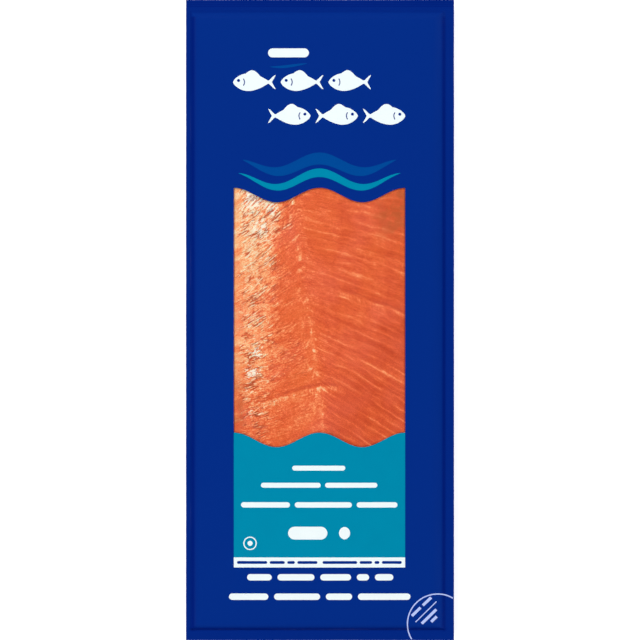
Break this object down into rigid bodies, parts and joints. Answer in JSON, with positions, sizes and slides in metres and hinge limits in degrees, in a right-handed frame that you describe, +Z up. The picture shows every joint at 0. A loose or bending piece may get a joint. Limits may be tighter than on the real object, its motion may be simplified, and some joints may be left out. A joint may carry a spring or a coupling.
{
  "type": "pack of smoked salmon",
  "caption": "Long flat sealed pack of sliced smoked salmon in blue printed film, with a clear wavy-ended window, a teal label field and raised flat sealed edges.",
  "frame": {"origin": "under the middle of the pack's outline, on the surface it lies on", "axes": "+X across the pack to the right as the print is read, +Y along the pack to its head, +Z up out of the printed face"},
  "size_m": [0.1254, 0.3, 0.0092],
  "materials": {
    "printed_film": "deep blue printed plastic film with a satin surface",
    "back_film": "deep blue formed plastic film with a satin surface",
    "clear_film": "thin clear glossy plastic film, lightly crinkled against the fish",
    "salmon": "moist orange smoked salmon with paler fat lines, stood in for by a satin plastic",
    "teal_print": "teal print on film, satin",
    "mid_blue_print": "mid blue print on film, satin",
    "white_print": "white print on film, satin"
  },
  "bodies": {
    "root": {"back_web": "back_film", "front_web": "printed_film", "window_film": "clear_film", "salmon_slices": "salmon"}
  },
  "joints": []
}
